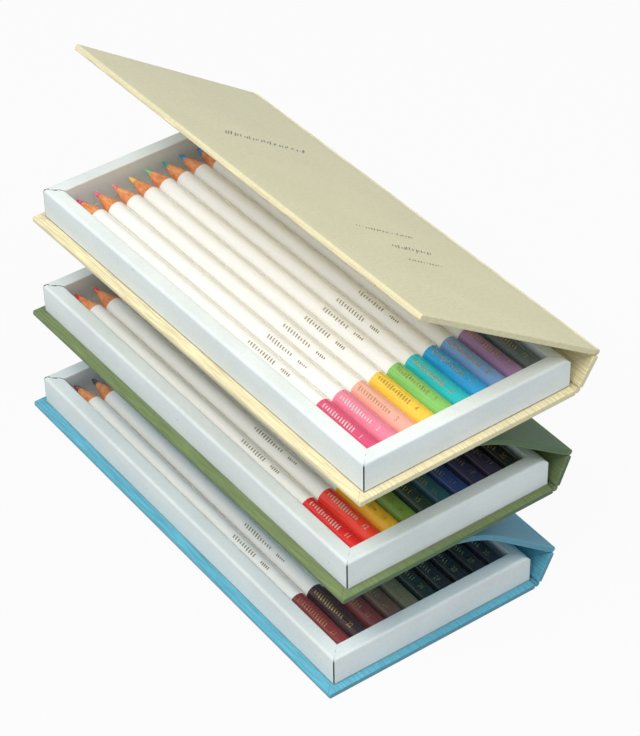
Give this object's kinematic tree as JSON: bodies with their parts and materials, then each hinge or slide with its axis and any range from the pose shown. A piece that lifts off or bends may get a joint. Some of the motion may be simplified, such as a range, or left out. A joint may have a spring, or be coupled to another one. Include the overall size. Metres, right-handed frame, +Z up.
{
  "type": "pencil box set",
  "caption": "Set of book-form card pencil boxes standing one above another, each with a hinged spine and cover, a hollow-walled tray and colour pencils in a grooved bed.",
  "frame": {"origin": "middle of the underside of the lowest box's back board", "axes": "+Z up, +Y from the pencils' blunt ends to their tips, +X towards the spines"},
  "size_m": [0.1062, 0.2074, 0.1622],
  "materials": {
    "cream_bookcloth": "fine ribbed bookcloth on board",
    "green_bookcloth": "fine ribbed bookcloth on board",
    "blue_bookcloth": "fine ribbed bookcloth on board",
    "white_card": "smooth coated card",
    "grey_card": "matt moulded card",
    "pencil_lacquer": "gloss white lacquer, coloured end, bare sharpened cone"
  },
  "bodies": {
    "blue_box": {"blue_back_board": "blue_bookcloth", "blue_lower_hinge_cloth": "blue_bookcloth", "blue_tray_floor": "white_card", "blue_long_walls": "white_card", "blue_short_walls": "white_card", "blue_pencil_bed": "grey_card"},
    "blue_spine": {"blue_spine_board": "blue_bookcloth", "blue_upper_hinge_cloth": "blue_bookcloth"},
    "blue_cover": {"blue_front_board": "blue_bookcloth"},
    "blue_pencil_01": {"blue_pencil_01": "pencil_lacquer"},
    "blue_pencil_02": {"blue_pencil_02": "pencil_lacquer"},
    "blue_pencil_03": {"blue_pencil_03": "pencil_lacquer"},
    "blue_pencil_04": {"blue_pencil_04": "pencil_lacquer"},
    "blue_pencil_05": {"blue_pencil_05": "pencil_lacquer"},
    "blue_pencil_06": {"blue_pencil_06": "pencil_lacquer"},
    "blue_pencil_07": {"blue_pencil_07": "pencil_lacquer"},
    "blue_pencil_08": {"blue_pencil_08": "pencil_lacquer"},
    "blue_pencil_09": {"blue_pencil_09": "pencil_lacquer"},
    "blue_pencil_10": {"blue_pencil_10": "pencil_lacquer"},
    "green_box": {"green_back_board": "green_bookcloth", "green_lower_hinge_cloth": "green_bookcloth", "green_tray_floor": "white_card", "green_long_walls": "white_card", "green_short_walls": "white_card", "green_pencil_bed": "grey_card"},
    "green_spine": {"green_spine_board": "green_bookcloth", "green_upper_hinge_cloth": "green_bookcloth"},
    "green_cover": {"green_front_board": "green_bookcloth"},
    "green_pencil_01": {"green_pencil_01": "pencil_lacquer"},
    "green_pencil_02": {"green_pencil_02": "pencil_lacquer"},
    "green_pencil_03": {"green_pencil_03": "pencil_lacquer"},
    "green_pencil_04": {"green_pencil_04": "pencil_lacquer"},
    "green_pencil_05": {"green_pencil_05": "pencil_lacquer"},
    "green_pencil_06": {"green_pencil_06": "pencil_lacquer"},
    "green_pencil_07": {"green_pencil_07": "pencil_lacquer"},
    "green_pencil_08": {"green_pencil_08": "pencil_lacquer"},
    "green_pencil_09": {"green_pencil_09": "pencil_lacquer"},
    "green_pencil_10": {"green_pencil_10": "pencil_lacquer"},
    "cream_box": {"cream_back_board": "cream_bookcloth", "cream_lower_hinge_cloth": "cream_bookcloth", "cream_tray_floor": "white_card", "cream_long_walls": "white_card", "cream_short_walls": "white_card", "cream_pencil_bed": "grey_card"},
    "cream_spine": {"cream_spine_board": "cream_bookcloth", "cream_upper_hinge_cloth": "cream_bookcloth"},
    "cream_cover": {"cream_front_board": "cream_bookcloth"},
    "cream_pencil_01": {"cream_pencil_01": "pencil_lacquer"},
    "cream_pencil_02": {"cream_pencil_02": "pencil_lacquer"},
    "cream_pencil_03": {"cream_pencil_03": "pencil_lacquer"},
    "cream_pencil_04": {"cream_pencil_04": "pencil_lacquer"},
    "cream_pencil_05": {"cream_pencil_05": "pencil_lacquer"},
    "cream_pencil_06": {"cream_pencil_06": "pencil_lacquer"},
    "cream_pencil_07": {"cream_pencil_07": "pencil_lacquer"},
    "cream_pencil_08": {"cream_pencil_08": "pencil_lacquer"},
    "cream_pencil_09": {"cream_pencil_09": "pencil_lacquer"},
    "cream_pencil_10": {"cream_pencil_10": "pencil_lacquer"}
  },
  "joints": [
    {"name": "blue_spine_hinge", "type": "hinge", "parent": "blue_box", "child": "blue_spine", "pos_m": [0.04635, 0, 0.00115], "axis": [0, 1, 0], "range_deg": [-8, 0]},
    {"name": "blue_cover_hinge", "type": "hinge", "parent": "blue_spine", "child": "blue_cover", "pos_m": [0.05291, 0, 0.01442], "axis": [0, 1, 0], "range_deg": [-11, 0]},
    {"name": "blue_pencil_01_lift", "type": "slide", "parent": "blue_box", "child": "blue_pencil_01", "axis": [0, 0, 1], "range_m": [0, 0.01]},
    {"name": "blue_pencil_02_lift", "type": "slide", "parent": "blue_box", "child": "blue_pencil_02", "axis": [0, 0, 1], "range_m": [0, 0.01]},
    {"name": "blue_pencil_03_lift", "type": "slide", "parent": "blue_box", "child": "blue_pencil_03", "axis": [0, 0, 1], "range_m": [0, 0.01]},
    {"name": "blue_pencil_04_lift", "type": "slide", "parent": "blue_box", "child": "blue_pencil_04", "axis": [0, 0, 1], "range_m": [0, 0.01]},
    {"name": "blue_pencil_05_lift", "type": "slide", "parent": "blue_box", "child": "blue_pencil_05", "axis": [0, 0, 1], "range_m": [0, 0.01]},
    {"name": "blue_pencil_06_lift", "type": "slide", "parent": "blue_box", "child": "blue_pencil_06", "axis": [0, 0, 1], "range_m": [0, 0.01]},
    {"name": "blue_pencil_07_lift", "type": "slide", "parent": "blue_box", "child": "blue_pencil_07", "axis": [0, 0, 1], "range_m": [0, 0.01]},
    {"name": "blue_pencil_08_lift", "type": "slide", "parent": "blue_box", "child": "blue_pencil_08", "axis": [0, 0, 1], "range_m": [0, 0.01]},
    {"name": "blue_pencil_09_lift", "type": "slide", "parent": "blue_box", "child": "blue_pencil_09", "axis": [0, 0, 1], "range_m": [0, 0.01]},
    {"name": "blue_pencil_10_lift", "type": "slide", "parent": "blue_box", "child": "blue_pencil_10", "axis": [0, 0, 1], "range_m": [0, 0.01]},
    {"name": "green_box_lift", "type": "slide", "parent": "blue_box", "child": "green_box", "axis": [0, 0, 1], "range_m": [0, 0.1]},
    {"name": "green_spine_hinge", "type": "hinge", "parent": "green_box", "child": "green_spine", "pos_m": [0.04842, -0.00353, 0.04825], "axis": [-0.0087, 1, 0], "range_deg": [-8, 0]},
    {"name": "green_cover_hinge", "type": "hinge", "parent": "green_spine", "child": "green_cover", "pos_m": [0.05422, -0.00348, 0.06186], "axis": [-0.0087, 1, 0], "range_deg": [-11, 0]},
    {"name": "green_pencil_01_lift", "type": "slide", "parent": "green_box", "child": "green_pencil_01", "axis": [0, 0, 1], "range_m": [0, 0.01]},
    {"name": "green_pencil_02_lift", "type": "slide", "parent": "green_box", "child": "green_pencil_02", "axis": [0, 0, 1], "range_m": [0, 0.01]},
    {"name": "green_pencil_03_lift", "type": "slide", "parent": "green_box", "child": "green_pencil_03", "axis": [0, 0, 1], "range_m": [0, 0.01]},
    {"name": "green_pencil_04_lift", "type": "slide", "parent": "green_box", "child": "green_pencil_04", "axis": [0, 0, 1], "range_m": [0, 0.01]},
    {"name": "green_pencil_05_lift", "type": "slide", "parent": "green_box", "child": "green_pencil_05", "axis": [0, 0, 1], "range_m": [0, 0.01]},
    {"name": "green_pencil_06_lift", "type": "slide", "parent": "green_box", "child": "green_pencil_06", "axis": [0, 0, 1], "range_m": [0, 0.01]},
    {"name": "green_pencil_07_lift", "type": "slide", "parent": "green_box", "child": "green_pencil_07", "axis": [0, 0, 1], "range_m": [0, 0.01]},
    {"name": "green_pencil_08_lift", "type": "slide", "parent": "green_box", "child": "green_pencil_08", "axis": [0, 0, 1], "range_m": [0, 0.01]},
    {"name": "green_pencil_09_lift", "type": "slide", "parent": "green_box", "child": "green_pencil_09", "axis": [0, 0, 1], "range_m": [0, 0.01]},
    {"name": "green_pencil_10_lift", "type": "slide", "parent": "green_box", "child": "green_pencil_10", "axis": [0, 0, 1], "range_m": [0, 0.01]},
    {"name": "cream_box_lift", "type": "slide", "parent": "green_box", "child": "cream_box", "axis": [0, 0, 1], "range_m": [0, 0.1]},
    {"name": "cream_spine_hinge", "type": "hinge", "parent": "cream_box", "child": "cream_spine", "pos_m": [0.04918, -0.01017, 0.09645], "axis": [-0.0175, 0.9998, 0], "range_deg": [-32, 58]},
    {"name": "cream_cover_hinge", "type": "hinge", "parent": "cream_spine", "child": "cream_cover", "pos_m": [0.05702, -0.01003, 0.109], "axis": [-0.0175, 0.9998, 0], "range_deg": [-2.3, 87.5]},
    {"name": "cream_pencil_01_lift", "type": "slide", "parent": "cream_box", "child": "cream_pencil_01", "axis": [0, 0, 1], "range_m": [0, 0.01]},
    {"name": "cream_pencil_02_lift", "type": "slide", "parent": "cream_box", "child": "cream_pencil_02", "axis": [0, 0, 1], "range_m": [0, 0.01]},
    {"name": "cream_pencil_03_lift", "type": "slide", "parent": "cream_box", "child": "cream_pencil_03", "axis": [0, 0, 1], "range_m": [0, 0.01]},
    {"name": "cream_pencil_04_lift", "type": "slide", "parent": "cream_box", "child": "cream_pencil_04", "axis": [0, 0, 1], "range_m": [0, 0.01]},
    {"name": "cream_pencil_05_lift", "type": "slide", "parent": "cream_box", "child": "cream_pencil_05", "axis": [0, 0, 1], "range_m": [0, 0.01]},
    {"name": "cream_pencil_06_lift", "type": "slide", "parent": "cream_box", "child": "cream_pencil_06", "axis": [0, 0, 1], "range_m": [0, 0.01]},
    {"name": "cream_pencil_07_lift", "type": "slide", "parent": "cream_box", "child": "cream_pencil_07", "axis": [0, 0, 1], "range_m": [0, 0.01]},
    {"name": "cream_pencil_08_lift", "type": "slide", "parent": "cream_box", "child": "cream_pencil_08", "axis": [0, 0, 1], "range_m": [0, 0.01]},
    {"name": "cream_pencil_09_lift", "type": "slide", "parent": "cream_box", "child": "cream_pencil_09", "axis": [0, 0, 1], "range_m": [0, 0.01]},
    {"name": "cream_pencil_10_lift", "type": "slide", "parent": "cream_box", "child": "cream_pencil_10", "axis": [0, 0, 1], "range_m": [0, 0.01]}
  ]
}
